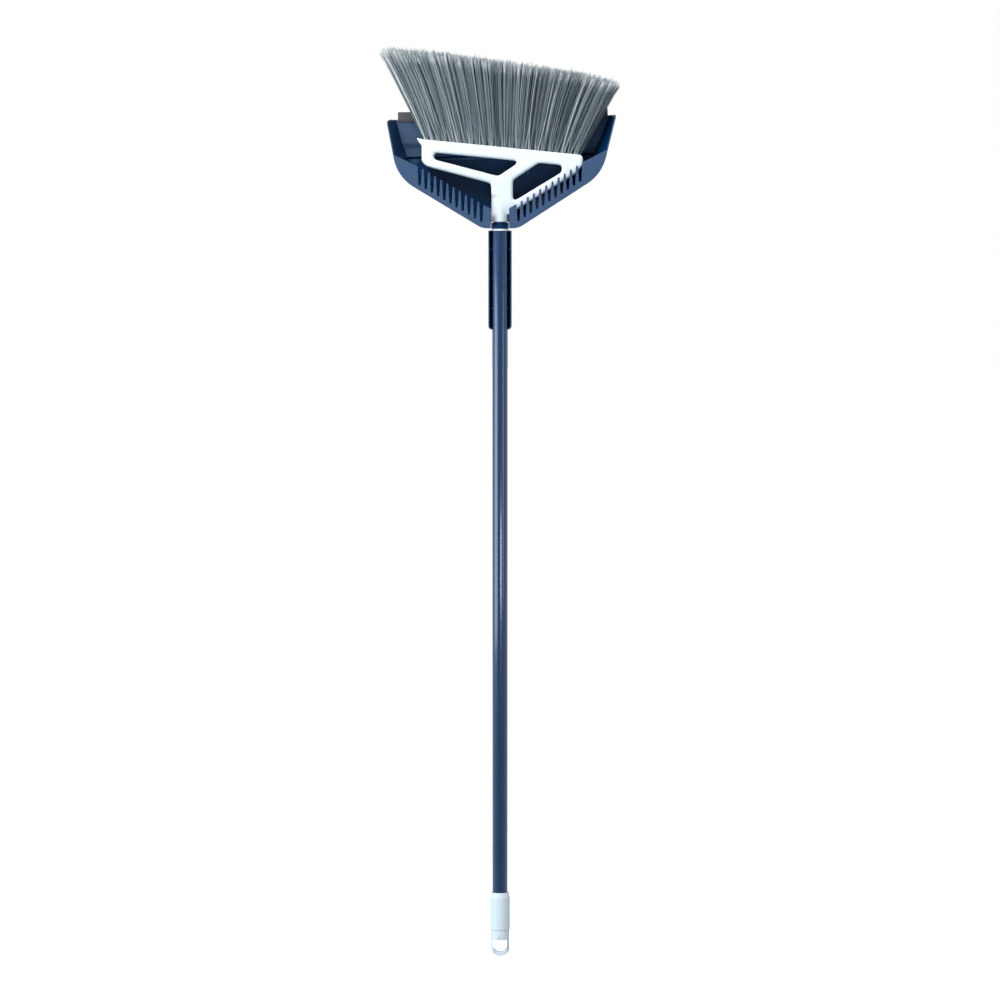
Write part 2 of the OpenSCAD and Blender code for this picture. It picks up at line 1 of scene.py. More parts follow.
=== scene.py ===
# %% [markdown]
# # A lobby broom clipped into its dustpan
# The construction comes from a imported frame: every solid is already at its real size and in its real place.
# This lesson dresses that frame. Hard pieces get the soft edges of a moulding, the plain strands become
# thousands of filaments, and each surface gets the finish of its real material.

# %% Load the frame
import math
import random

import bmesh
import bpy
from mathutils import Matrix, Vector


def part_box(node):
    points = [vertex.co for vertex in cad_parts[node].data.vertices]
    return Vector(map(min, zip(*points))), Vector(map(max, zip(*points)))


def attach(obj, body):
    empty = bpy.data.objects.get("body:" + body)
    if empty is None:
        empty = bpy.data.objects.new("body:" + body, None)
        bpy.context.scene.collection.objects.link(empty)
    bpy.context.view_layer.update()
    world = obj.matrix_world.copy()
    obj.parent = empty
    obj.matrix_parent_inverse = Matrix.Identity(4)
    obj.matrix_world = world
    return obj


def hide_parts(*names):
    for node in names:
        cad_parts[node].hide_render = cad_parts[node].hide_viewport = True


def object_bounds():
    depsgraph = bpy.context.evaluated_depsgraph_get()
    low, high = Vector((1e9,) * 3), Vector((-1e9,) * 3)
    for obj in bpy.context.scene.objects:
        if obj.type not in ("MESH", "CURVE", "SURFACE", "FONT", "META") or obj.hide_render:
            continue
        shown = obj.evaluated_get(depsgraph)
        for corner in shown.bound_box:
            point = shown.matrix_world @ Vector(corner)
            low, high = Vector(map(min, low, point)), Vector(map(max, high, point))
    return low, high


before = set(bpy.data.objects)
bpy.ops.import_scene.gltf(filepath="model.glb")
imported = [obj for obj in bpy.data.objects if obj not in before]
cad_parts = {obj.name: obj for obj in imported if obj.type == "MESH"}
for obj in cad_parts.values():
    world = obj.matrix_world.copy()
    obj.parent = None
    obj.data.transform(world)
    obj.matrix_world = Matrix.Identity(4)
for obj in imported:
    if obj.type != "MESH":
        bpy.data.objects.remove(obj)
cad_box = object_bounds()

MM = 0.001
scene = bpy.context.scene

# %% [markdown]
# ## Helpers for materials
# A shader works with linear light, while a colour given as hex is an sRGB value, so one function converts.
# Every material is a small graph of nodes. Writing each node and link by hand takes many lines, so one
# function adds a node, sets it up and links it in a single call.

# %% Colour and node helpers
DEFAULT_IOR = 1.5


def linear(colour):
    """A hex sRGB colour as a linear colour for a shader socket."""
    shares = [int(colour[k:k + 2], 16) / 255 for k in (1, 3, 5)]
    return [s / 12.92 if s <= 0.04045 else ((s + 0.055) / 1.055) ** 2.4 for s in shares] + [1.0]


def add(tree, kind, sockets=None, **settings):
    """Adds a node to a tree. A socket takes a value, or a link from another node's output."""
    node = tree.nodes.new("ShaderNode" + kind)
    for name, value in settings.items():
        setattr(node, name, value)
    for name, value in (sockets or {}).items():
        if isinstance(value, bpy.types.NodeSocket):
            tree.links.new(value, node.inputs[name])
        else:
            node.inputs[name].default_value = value
    return node


def new_material(name, ior=DEFAULT_IOR):
    """An empty material, its tree and its shader."""
    material = bpy.data.materials.new(name)
    material.use_nodes = True
    shader = material.node_tree.nodes["Principled BSDF"]
    shader.inputs["IOR"].default_value = ior
    return material, material.node_tree, shader


def per_mm(size_mm):
    """Texture scale for features of a size in millimetres, on Object coordinates in metres."""
    return 1 / (size_mm * MM)


print("white as linear light:", linear("#ffffff"))

# %% [markdown]
# ## Injection-moulded polypropylene
# The head, the cap and the dustpan are moulded from coloured polypropylene. The eye reads three things: a
# colour that goes right through, a satin gloss that drifts a little where the melt flowed, and the faint
# grain of an etched mould. An image could paint all that, but noise on Object coordinates needs no unwrapping
# and stays sharp at any distance. One function makes each plastic from its colours and its sizes.

# %% Moulded plastics
PLASTIC_IOR = 1.49
GLOSS_DRIFT = 0.07


def moulded_plastic(name, colour, shade, roughness, flow_mm, grain_mm, grain_depth_mm, specular=0.5):
    """Two close colours drift in slow flow clouds. The grain dents the surface and breaks up its gloss."""
    material, tree, shader = new_material(name, PLASTIC_IOR)
    shader.inputs["Specular IOR Level"].default_value = specular
    place = add(tree, "TexCoord").outputs["Object"]
    flow = add(tree, "TexNoise", {"Vector": place, "Scale": per_mm(flow_mm), "Detail": 3.0}).outputs["Fac"]
    tint = add(tree, "Mix", {"Factor": flow, "A": linear(shade), "B": linear(colour)}, data_type="RGBA")
    grain = add(tree, "TexNoise", {"Vector": place, "Scale": per_mm(grain_mm), "Detail": 4.0}).outputs["Fac"]
    gloss = add(tree, "MapRange", {"Value": grain, "To Min": roughness - GLOSS_DRIFT,
                                   "To Max": roughness + GLOSS_DRIFT})
    dent = add(tree, "Bump", {"Height": grain, "Distance": grain_depth_mm * MM, "Strength": 0.6})
    tree.links.new(tint.outputs["Result"], shader.inputs["Base Color"])
    tree.links.new(gloss.outputs["Result"], shader.inputs["Roughness"])
    tree.links.new(dent.outputs["Normal"], shader.inputs["Normal"])
    return material


# Real etched grain is about 0.2 mm wide. It is drawn at over 1 mm so that it shows from a step away.
white_plastic = moulded_plastic("white_moulded_polypropylene", "#e4ebee", "#dce5e9", roughness=0.36,
                                flow_mm=45, grain_mm=1.3, grain_depth_mm=0.02)
pale_plastic = moulded_plastic("pale_moulded_polypropylene", "#d4dfe1", "#ccd8db", roughness=0.40,
                               flow_mm=30, grain_mm=1.3, grain_depth_mm=0.03)
tip_plastic = moulded_plastic("navy_polished_polypropylene", "#0a3058", "#08294c", roughness=0.34,
                              flow_mm=60, grain_mm=1.4, grain_depth_mm=0.01, specular=0.12)
print("plastics:", [m.name for m in (white_plastic, pale_plastic, tip_plastic)])

# %% [markdown]
# ## Two finishes from one mould, and painted shade
# The half of the mould that shapes the dustpan's outside and its ramp is etched, so they look slate blue and
# matt. The half that shapes the inside is polished, so that dust slides out, and mirrors the lamps. The
# inside also lies in shade, and that shade is painted into its colour as a much darker navy. Two materials on
# the faces would meet in a jagged line. One material that blends both finishes, by a share that the mesh
# stores at each vertex, has a soft border.

# %% Etched and polished navy
def polish_and_shade_by_share(material, attribute, colour, roughness):
    """Lays a polished finish over a shader's colour and gloss, by the share in an attribute; its darker
    colour is painted shade.
    """
    tree = material.node_tree
    shader = tree.nodes["Principled BSDF"]
    share = add(tree, "Attribute", attribute_name=attribute).outputs["Fac"]
    for socket, finish, kind in (("Base Color", linear(colour), "RGBA"), ("Roughness", roughness, "FLOAT")):
        etched = shader.inputs[socket].links[0].from_socket
        blend = add(tree, "Mix", {"Factor": share, "A": etched, "B": finish}, data_type=kind)
        tree.links.new(blend.outputs["Result"], shader.inputs[socket])


navy_plastic = moulded_plastic("navy_etched_polypropylene_with_painted_shade", "#37506e", "#314866", roughness=0.48,
                               flow_mm=60, grain_mm=1.4, grain_depth_mm=0.04, specular=0.3)
# The polished share also darkens the navy to #022c50 inside the tray: painted shade.
polish_and_shade_by_share(navy_plastic, "polish_and_shade", "#022c50", roughness=0.24)
print("two finishes on", navy_plastic.name)

# %% [markdown]
# ## Soft grey rubber
# The lip on the dustpan's mouth is a soft thermoplastic rubber. It is matt, a little dusty, and speckled by
# its filler. It shares the moulded function, with a rough gloss and a coarse grain.

# %% Thermoplastic rubber
soft_rubber = moulded_plastic("grey_moulded_thermoplastic_rubber", "#3b3c3e", "#333537", roughness=0.62,
                              flow_mm=18, grain_mm=1.8, grain_depth_mm=0.06)
print("rubber:", soft_rubber.name)

# %% [markdown]
# ## Powder-coated steel
# The pole is a thin steel tube with a baked navy powder coat. The powder melts into a smooth skin with a
# slight orange peel, so a reflection of a long lamp runs down it as a streak with a soft, wavering edge.
# The coat is a plastic film, so the metal underneath isn't seen and the shader stays non-metallic.

# %% Powder coat
COAT_IOR = 1.52
PEEL_MM = 2.2
PEEL_DEPTH_MM = 0.02
PEEL_STRETCH = 0.4
CLOUD_MM = 40


def powder_coat(name, colour, shade):
    """A glossy film whose orange peel stretches along the tube, as it does when the powder flows."""
    material, tree, shader = new_material(name, COAT_IOR)
    place = add(tree, "TexCoord").outputs["Object"]
    drawn = add(tree, "Mapping", {"Vector": place, "Scale": (1.0, 1.0, PEEL_STRETCH)}).outputs["Vector"]
    peel = add(tree, "TexNoise", {"Vector": drawn, "Scale": per_mm(PEEL_MM), "Detail": 2.0}).outputs["Fac"]
    cloud = add(tree, "TexNoise", {"Vector": drawn, "Scale": per_mm(CLOUD_MM), "Detail": 2.0}).outputs["Fac"]
    tint = add(tree, "Mix", {"Factor": cloud, "A": linear(shade), "B": linear(colour)}, data_type="RGBA")
    gloss = add(tree, "MapRange", {"Value": cloud, "To Min": 0.18, "To Max": 0.26})
    dent = add(tree, "Bump", {"Height": peel, "Distance": PEEL_DEPTH_MM * MM, "Strength": 0.6})
    tree.links.new(tint.outputs["Result"], shader.inputs["Base Color"])
    tree.links.new(gloss.outputs["Result"], shader.inputs["Roughness"])
    tree.links.new(dent.outputs["Normal"], shader.inputs["Normal"])
    # The clear top layer lies smooth over the orange peel, so lamps also show as straight, crisp bands.
    shader.inputs["Coat Weight"].default_value = 1.0
    shader.inputs["Coat Roughness"].default_value = 0.1
    return material


coated_steel = powder_coat("navy_powder_coated_steel", "#033058", "#022a4f")
print("coat:", coated_steel.name)

# %% [markdown]
# ## Galvanised anchor wire
# Each tuft is folded over a flat wire staple at the bottom of its hole. The zinc skin is metal, so it keeps
# the default IOR and takes its colour in the reflection. Spangle, the patchwork of zinc crystals, is a
# Voronoi pattern. The anchors' solid is right as it is, so it stays in view and only takes on the material.

# %% Zinc skin
SPANGLE_MM = 0.8
anchor_zinc, tree, shader = new_material("galvanised_anchor_wire")
place = add(tree, "TexCoord").outputs["Object"]
spangle = add(tree, "TexVoronoi", {"Vector": place, "Scale": per_mm(SPANGLE_MM)}).outputs["Color"]
tint = add(tree, "Mix", {"Factor": spangle, "A": linear("#9fa4a9"), "B": linear("#c6cace")}, data_type="RGBA")
tree.links.new(tint.outputs["Result"], shader.inputs["Base Color"])
shader.inputs["Metallic"].default_value = 1.0
shader.inputs["Roughness"].default_value = 0.38
print("zinc:", anchor_zinc.name, "with a spangle of", SPANGLE_MM, "mm")


# %% Dress the anchors
def dress(node, material):
    """Gives a solid that stays in view its material."""
    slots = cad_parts[node].data.materials
    slots.clear()
    slots.append(material)
    print(node, "is", material.name)


dress("tuft_anchors", anchor_zinc)

# %% [markdown]
# ## Soft edges for the mouldings
# No edge of a moulding is sharp: the mould is radiused so that the melt flows and the part lets go. A bevel
# needs clean face loops, and a solid that was cut and joined has slivers that fold when bevelled. Remeshing
# as voxels forgets the old faces, and smoothing then rounds every edge, inside corners too, just as a mould
# maker's ball cutter would. Last, the faces that flat areas don't need are taken out.

# %% Copies and modifiers
MERGE_MM = 0.002


def merged_copy(node):
    """A bmesh copy of a node with its loose triangles joined."""
    bm = bmesh.new()
    bm.from_mesh(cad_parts[node].data)
    bmesh.ops.remove_doubles(bm, verts=bm.verts, dist=MERGE_MM * MM)
    return bm


def after_modifier(bm, kind, **settings):
    """The bmesh as a modifier leaves it."""
    mesh = bpy.data.meshes.new("work")
    bm.to_mesh(mesh)
    bm.free()
    work = bpy.data.objects.new("work", mesh)
    scene.collection.objects.link(work)
    modifier = work.modifiers.new(kind, kind)
    for name, value in settings.items():
        setattr(modifier, name, value)
    made = bmesh.new()
    made.from_object(work, bpy.context.evaluated_depsgraph_get())
    bpy.data.objects.remove(work)
    bpy.data.meshes.remove(mesh)
    return made


for node in ("dustpan", "dustpan_lip", "head_frame", "hang_cap"):
    print(node, "starts as", len(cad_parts[node].data.polygons), "loose triangles")


# %% Voxels, smoothing and thinning
def voxels(bm, voxel_mm):
    """The same solid with even square faces of a size."""
    return after_modifier(bm, "REMESH", mode="VOXEL", voxel_size=voxel_mm * MM)


def smooth(bm, verts, rounds):
    """Evens out some vertices, each round drawing them halfway towards their neighbours."""
    for _ in range(rounds):
        bmesh.ops.smooth_vert(bm, verts=verts, factor=0.5, use_axis_x=True, use_axis_y=True, use_axis_z=True)


def soft_edged(node, voxel_mm, rounds, kept_share):
    """A node's solid with rounded edges, thinned to a share of its faces."""
    bm = voxels(merged_copy(node), voxel_mm)
    smooth(bm, bm.verts, rounds)
    made = after_modifier(bm, "DECIMATE", ratio=kept_share)
    print(node, "is soft-edged, with", len(made.faces), "faces")
    return made


# %% [markdown]
# ## From a mesh to a piece of the broom
# A finished piece needs two things beside its shape: the body that it moves with and its material, and the
# solid that it takes the place of is hidden. Setting them by hand on thirty pieces invites a slip, so one
# function does it for all. It also shades the mesh smooth, apart from edges that are sharper than a crease
# angle.

# %% Finished pieces
CREASE = 40


def add_piece(bm, name, node, body, material, crease=CREASE):
    """Makes a bmesh a finished piece that stands for a node and rides on a body."""
    mesh = bpy.data.meshes.new(name)
    bm.to_mesh(mesh)
    bm.free()
    mesh.shade_smooth()
    mesh.set_sharp_from_angle(angle=math.radians(crease))
    mesh.materials.append(material)
    piece = bpy.data.objects.new(name, mesh)
    scene.collection.objects.link(piece)
    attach(piece, body)
    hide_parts(node)
    print(name, "stands for", node, "with", len(mesh.polygons), "faces")


# %% [markdown]
# ## Dustpan
# The dustpan is one thin navy moulding: tray, comb plate, notch and clip-on handle. Its walls are 2 mm thick,
# so the voxels are well under half of that, and a few rounds of smoothing turn each rim into a full round.
# The polished share is then set at each vertex: what faces the middle of the tray, or the pole inside the
# handle, is polished and painted darker as shade, apart from the ramp that dust is swept up.

# %% Where the dustpan is polished and painted with shade
RAMP_FOOT_H = 89
HANDLE_TOP_H = -6
MOUTH_LEAN = 0.022
RAMP_FACING = -0.85
TRAY_HEART_Y = 3
TRAY_HEART_H = 80
socket_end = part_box("head_frame")[0].z
tray_heart = Vector((0, TRAY_HEART_Y * MM, socket_end + TRAY_HEART_H * MM))


def is_polished_and_shaded(vert):
    """Does a vertex of the dustpan lie on a polished face, which is also painted darker as shade?"""
    h = vert.co.z - socket_end - MOUTH_LEAN * vert.co.x
    heart = tray_heart if h > HANDLE_TOP_H * MM else Vector((0, 0, vert.co.z))
    on_ramp = h > RAMP_FOOT_H * MM and vert.normal.y < RAMP_FACING
    return vert.normal.dot(heart - vert.co) > 0 and not on_ramp


print("heights are measured from the socket's end, at", round(socket_end, 4), "m")

# %% Navy dustpan
bm = soft_edged("dustpan", voxel_mm=0.6, rounds=3, kept_share=0.2)
bm.normal_update()
# A share of 1 makes a face glossy and paints its shade as a much darker navy.
share = bm.verts.layers.float.new("polish_and_shade")
for vert in bm.verts:
    vert[share] = 1.0 if is_polished_and_shaded(vert) else 0.0
print("polished vertices:", sum(v[share] > 0 for v in bm.verts), "of", len(bm.verts))
add_piece(bm, "navy_dustpan", "dustpan", "dustpan", navy_plastic)

# %% [markdown]
# ## Grey lip
# The lip is a soft strip along the mouth that follows the ground, so that no dust slips under it. A swept
# profile could make it, but its solid already has the right line and only needs its edges rounded, as the
# dustpan's were. It is thin, so its voxels are a little finer.

# %% Soft lip
bm = soft_edged("dustpan_lip", voxel_mm=0.5, rounds=3, kept_share=0.3)
add_piece(bm, "grey_lip", "dustpan_lip", "dustpan", soft_rubber)

# %% [markdown]
# ## Head frame
# The white head is a thick, soft-looking moulding: its arms are nearly round bars, and only the scraper fin
# and the end of the socket are crisp. So the smoothing is uneven: a few rounds all over, then many more on
# the arms and the bar. The tuft holes would be worn away by that, and no eye sees them under the bristles, so
# a block fills them before the voxels are made, which join everything that overlaps.

# %% Fill the tuft holes
ROOT_H = 104.6
ROOT_SLOPE = 0.0976
HOLE_DEPTH = 10
FILL_X = 3.6
FILL_WIDTH = 219.2
FILL_DEPTH = 31
FILL_OVERRUN = 0.4
FILL_SINK = 0.5


def root_z(x):
    """Height of the bar's upper face at a place across the head, in metres."""
    return socket_end + ROOT_H * MM - ROOT_SLOPE * x


bm = merged_copy("head_frame")
tilt = Matrix.Rotation(math.atan(ROOT_SLOPE), 4, "Y")
middle = Vector((FILL_X * MM, 0, root_z(FILL_X * MM) - (HOLE_DEPTH / 2 + FILL_SINK) * MM))
size = Matrix.Diagonal((FILL_WIDTH * MM, FILL_DEPTH * MM, (HOLE_DEPTH + FILL_OVERRUN) * MM, 1))
bmesh.ops.create_cube(bm, size=1, matrix=Matrix.Translation(middle) @ tilt @ size)
print("the block in the bar is", FILL_WIDTH, "mm wide")

# %% White head
HEAD_LEFT = 108.8
FIN_MARGIN = 1
SOCKET_CRISP_H = 14
BAR_CRISP_H = 4
bm = voxels(bm, voxel_mm=0.9)
smooth(bm, bm.verts, rounds=6)
arms = [v for v in bm.verts if v.co.x > -(HEAD_LEFT - FIN_MARGIN) * MM
        and socket_end + SOCKET_CRISP_H * MM < v.co.z < root_z(v.co.x) - BAR_CRISP_H * MM]
print("vertices on the arms:", len(arms), "of", len(bm.verts))
smooth(bm, arms, rounds=44)
bm = after_modifier(bm, "DECIMATE", ratio=0.6)
add_piece(bm, "white_head", "head_frame", "head", white_plastic)

# %% [markdown]
# ## Cap and threaded tip
# The cap has a fine step where its sleeve becomes the loop, so it is smoothed only a little. The tip shows
# just its collar, a band between the ring and the head, and its thread is hidden in the socket. Its solid is
# right as it is, so it stays and only takes on its material.

# %% Pale cap and navy tip
bm = soft_edged("hang_cap", voxel_mm=0.5, rounds=3, kept_share=0.6)
add_piece(bm, "pale_hang_cap", "hang_cap", "pole", pale_plastic)
dress("threaded_tip", tip_plastic)

# %% [markdown]
# ## Pole and ring
# Both are turned shapes. A section of the wall, spun once round the axis, gives a clean tube, and a small
# bevel on its rims catches the light. A plain cylinder would have no wall to see at its ends.

# %% Turned pieces
BORE_R = 10.3
TURN_STEPS = 96
RIM_ANGLE = 60


def turned(node, rim_mm):
    """A ring or tube with the outside of a node, spun from its wall's section."""
    low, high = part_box(node)
    inner_r = BORE_R * MM
    outer_r = high.x
    bm = bmesh.new()
    corners = [(inner_r, low.z), (outer_r, low.z), (outer_r, high.z), (inner_r, high.z)]
    section = [bm.verts.new((r, 0, z)) for r, z in corners]
    bm.faces.new(section)
    loop = bm.verts[:] + bm.edges[:]
    bmesh.ops.delete(bm, geom=bm.faces[:], context="FACES_ONLY")
    bmesh.ops.spin(bm, geom=loop, cent=(0, 0, 0), axis=(0, 0, 1), angle=2 * math.pi, steps=TURN_STEPS,
                   use_merge=True)
    bmesh.ops.recalc_face_normals(bm, faces=bm.faces)
    rims = [e for e in bm.edges if e.calc_face_angle(0) > math.radians(RIM_ANGLE)]
    bmesh.ops.bevel(bm, geom=rims, offset=rim_mm * MM, offset_type="OFFSET", segments=3, profile=0.5,
                    affect="EDGES", material=-1)
    return bm


bm = turned("pole_tube", rim_mm=0.25)
add_piece(bm, "coated_pole", "pole_tube", "pole", coated_steel)
bm = turned("spacer_ring", rim_mm=0.5)
add_piece(bm, "white_ring", "spacer_ring", "pole", white_plastic)

# %% [markdown]
# ## Bristles
# The fan is 96 tufts of polyester filament, drilled into the bar in 24 columns of 4. Each filament is a thin
# curve with a round section. Hair particles would be quicker to set up, but a part needs real geometry that
# can be exported. Filaments stick together in small clumps that share a tone and a length, which is what
# makes the streaks and the ragged tip line of a real broom.

# %% Layout of the fan
TUFT_NODES = sorted(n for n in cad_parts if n.startswith("tuft_column"))
ROWS = 4
ROW_PITCH = 8.0
ROW_SHIFT_SHARE = 0.25
COLUMN_LEFT = -99.5
COLUMN_RIGHT = 106.7
FAN_LEFT = -153.0
FAN_RIGHT = 154.5
TIP_H = 221.5
TIP_SLOPE = 0.14
TIP_DROOP = 5.0
column_pitch = (COLUMN_RIGHT - COLUMN_LEFT) / (len(TUFT_NODES) - 1)
fan_share = (FAN_RIGHT - FAN_LEFT) / (COLUMN_RIGHT - COLUMN_LEFT)


def tuft_x(column, row):
    """Place of a tuft along the bar. Every other row is set half a pitch to the right."""
    return COLUMN_LEFT + (column + (ROW_SHIFT_SHARE if row % 2 else -ROW_SHIFT_SHARE)) * column_pitch


def tip_x(x):
    """Where a filament that starts at x ends across the fan, in millimetres."""
    return FAN_LEFT + (x - COLUMN_LEFT) * fan_share


def tip_h(x):
    """Height of the tip line above the socket's end, in millimetres."""
    return TIP_H - TIP_SLOPE * x - TIP_DROOP * (x / FAN_RIGHT) ** 4


print("fan:", len(TUFT_NODES) * ROWS, "tufts, one column every", round(column_pitch, 2), "mm")

# %% [markdown]
# ## Flagged polyester filament
# Each filament is drawn from grey polyester, and its end is flagged, which means that it is split into finer
# hairs. Split ends scatter light, so the tips look pale. Light also comes through between the tufts near
# their roots, and that light is painted into the colour as paler roots. One colour would make a flat block.
# So every
# vertex stores three facts: the filament's tone, how far along it the vertex lies, and how much painted light
# its root gets. One ramp turns their sum into a grey.

# %% Filament material
FILAMENT_IOR = 1.57
TONES = ((0.0, "#3f4c50"), (0.3, "#5b6a6e"), (0.55, "#78868a"), (0.8, "#a1aaab"), (1.0, "#d9dcda"))
filament_pet, tree, shader = new_material("grey_flagged_polyester_filament", FILAMENT_IOR)
strand = add(tree, "Attribute", attribute_name="filament").outputs["Vector"]
parts = add(tree, "SeparateXYZ", {"Vector": strand})
tone, along, edge = (parts.outputs[k] for k in "XYZ")
tip_light = add(tree, "MapRange", {"Value": along, "From Min": 0.84, "From Max": 0.98, "To Max": 0.34},
                interpolation_type="SMOOTHSTEP")
# Painted light: near the root, the ramp is lifted by up to 0.55 times the root's light share.
root_fade = add(tree, "MapRange", {"Value": along, "From Min": 0.02, "From Max": 0.19, "To Min": 0.55,
                                   "To Max": 0.0}, interpolation_type="SMOOTHSTEP")
root_light = add(tree, "Math", {0: root_fade.outputs["Result"], 1: edge}, operation="MULTIPLY")
lights = add(tree, "Math", {0: tip_light.outputs["Result"], 1: root_light.outputs[0]}, operation="ADD")
level = add(tree, "Math", {0: tone, 1: lights.outputs[0]}, operation="ADD")
ramp = add(tree, "ValToRGB", {"Fac": level.outputs[0]})
while len(ramp.color_ramp.elements) < len(TONES):
    ramp.color_ramp.elements.new(0.5)
for element, (position, colour) in zip(ramp.color_ramp.elements, TONES):
    element.position = position
    element.color = linear(colour)
tree.links.new(ramp.outputs["Color"], shader.inputs["Base Color"])
shader.inputs["Roughness"].default_value = 0.45
print("filament tones:", len(TONES))

# %% [markdown]
# ## One filament
# A filament leaves its hole straight, opens out from its tuft early on, and keeps a slight bend from use. A
# few points are enough for that. A poly spline joins them, with a radius at each point that tapers to the
# tip, and two short splines near the tip are its split ends. A seeded generator gives all random places, so
# every run grows the same broom.

# %% Random places and splines
SEED = 7
draws = random.Random(SEED)


def disc(radius):
    """A seeded random place in a disc."""
    r = radius * math.sqrt(draws.random())
    a = 2 * math.pi * draws.random()
    return Vector((r * math.cos(a), r * math.sin(a), 0))


def add_path(curve, points, radii):
    """One filament: a poly spline with a radius at each point, in millimetres."""
    spline = curve.splines.new("POLY")
    spline.points.add(len(points) - 1)
    for point, place, r in zip(spline.points, points, radii):
        point.co = (*(place * MM), 1)
        point.radius = r


print("draws start from seed", SEED)

# %% Filament and split ends
PATH_SHARES = (0.0, 0.07, 0.2, 0.42, 0.68, 0.86, 1.0)
PATH_RADII = (1, 1, 1, 0.95, 0.9, 0.8, 0.5)
TONE_DRIFT = 0.08
FLAGS = 2
FLAG_SHARES = (0.0, 0.5, 1.0)
FLAG_RADII = (0.6, 0.5, 0.35)
FLAG_ROOT_SHARE = 0.6
FLAG_REACH = 1.8
FLAG_RISE = -0.5
FLAG_RISE_DRIFT = 1.6
FLAG_LIGHTER = 0.12
FLAG_ALONG = 0.86


def filament_path(root, straight, near, far, bend):
    """Points from a root to a tip: an even lean, an early opening from near to far, and a bow."""
    path = []
    for share in PATH_SHARES:
        opened = 1 - (1 - share) ** 3
        bowed = bend * 4 * share * (1 - share)
        path.append(root.lerp(straight, share) + near.lerp(far, opened) + bowed)
    return path


def add_filament(curve, facts, path, clump_tone, tip_onset, root_light):
    """A filament with its split ends, and the (tone, along, edge) of each point."""
    add_path(curve, path, PATH_RADII)
    tone = min(1.0, max(0.0, clump_tone + draws.gauss(0, TONE_DRIFT)))
    facts += [(tone, share + tip_onset, root_light) for share in PATH_SHARES]
    flag_tone = min(1.0, tone + FLAG_LIGHTER)
    for _ in range(FLAGS):
        flag_root = path[-2].lerp(path[-1], draws.uniform(0.0, FLAG_ROOT_SHARE))
        flag_tip = path[-1] + disc(FLAG_REACH) + Vector((0, 0, draws.gauss(FLAG_RISE, FLAG_RISE_DRIFT)))
        add_path(curve, [flag_root.lerp(flag_tip, share) for share in FLAG_SHARES], FLAG_RADII)
        facts += [(flag_tone, FLAG_ALONG + (1 - FLAG_ALONG) * share, 0.0) for share in FLAG_SHARES]


print("points on a filament:", len(PATH_SHARES) + FLAGS * len(FLAG_SHARES))

# %% [markdown]
# ## One tuft
# The filaments of a tuft fill a round hole. The golden angle places the clumps evenly in it, as seeds are
# placed in a sunflower, and the same layout, stretched, gives their places at the tips, so that tufts open
# out and close the fan without gaps. Clumps differ a little in tone, length and bend, by random drifts.

# %% Grow one tuft
CLUMPS = 20
FILAMENTS = 5
GOLDEN_ANGLE = math.pi * (3 - math.sqrt(5))
TURN_DRIFT = 0.4
HOLE_R = 2.7
HOLE_FILL_SHARE = 0.9
ROOT_SINK = 1.5
FAN_DEPTH_SHARE = 1.46
TIP_SPREAD_X = 8.5
TIP_SPREAD_Y = 5.0
CLUMP_STRAY = 2.2
CLUMP_TONE = 0.45
CLUMP_TONE_DRIFT = 0.22
CLUMP_TONE_MOST = 0.95
CLUMP_LENGTH_DRIFT = 1.8
ONSET_DRIFT = 0.025
SET_BEND = 3.0
BEND_DRIFT = 0.8
EDGE_LIGHT_SHARE = 0.3
STRAY = 1.0
ROOT_STRAY_SHARE = 0.35
TIP_STRAY_SHARE = 0.7
TIP_JITTER = 0.3
LENGTH_DRIFT = 1.6
TUFT_CROWN = 2.0


def grow_tuft(curve, facts, x0, row):
    """Clumps of filaments that leave one hole together and open out to meet their neighbours."""
    socket_mm = socket_end / MM
    y0 = (row - (ROWS - 1) / 2) * ROW_PITCH
    inside = 0 < row < ROWS - 1 and COLUMN_LEFT + column_pitch < x0 < COLUMN_RIGHT - column_pitch
    root = Vector((x0, y0, socket_mm + ROOT_H - ROOT_SLOPE * x0 - ROOT_SINK))
    end = Vector((tip_x(x0), y0 * FAN_DEPTH_SHARE, 0))
    set_bend = -SET_BEND * x0 / COLUMN_RIGHT
    for clump in range(CLUMPS):
        turn = clump * GOLDEN_ANGLE + draws.uniform(-TURN_DRIFT, TURN_DRIFT)
        reach = math.sqrt((clump + 0.5) / CLUMPS)
        out = Vector((math.cos(turn), math.sin(turn), 0)) * reach
        clump_end = Vector((out.x * TIP_SPREAD_X, out.y * TIP_SPREAD_Y, 0)) + disc(CLUMP_STRAY)
        clump_tone = min(CLUMP_TONE_MOST, max(0.0, draws.gauss(CLUMP_TONE, CLUMP_TONE_DRIFT)))
        clump_length = draws.gauss(0, CLUMP_LENGTH_DRIFT)
        tip_onset = draws.gauss(0, ONSET_DRIFT)
        bend = Vector((draws.gauss(set_bend, BEND_DRIFT), draws.gauss(0, BEND_DRIFT), 0))
        # Painted light at the roots: inner tufts are painted fully paler there, outer tufts a little, most at
        # their sides.
        root_light = 1.0 if inside else EDGE_LIGHT_SHARE * abs(out.x)
        for _ in range(FILAMENTS):
            stray = disc(STRAY)
            near = out * HOLE_R * HOLE_FILL_SHARE + stray * ROOT_STRAY_SHARE
            far = clump_end + stray * TIP_STRAY_SHARE + disc(TIP_JITTER)
            tip = end + far
            length_off = clump_length + draws.gauss(0, LENGTH_DRIFT) - TUFT_CROWN * reach
            tip.z = socket_mm + tip_h(tip.x) + length_off
            path = filament_path(root, tip - far, near, far, bend)
            add_filament(curve, facts, path, clump_tone, tip_onset, root_light)


print("filaments in a tuft:", CLUMPS * FILAMENTS)

# %% [markdown]
# ## The whole fan
# Each column of four tufts is one piece, as each is one node in the frame. Its splines are curves with a
# bevel, which Blender turns into thin tubes. The tubes are then made a mesh, because vertices can keep the
# facts that the material reads and curves can't, and their open ends are closed.

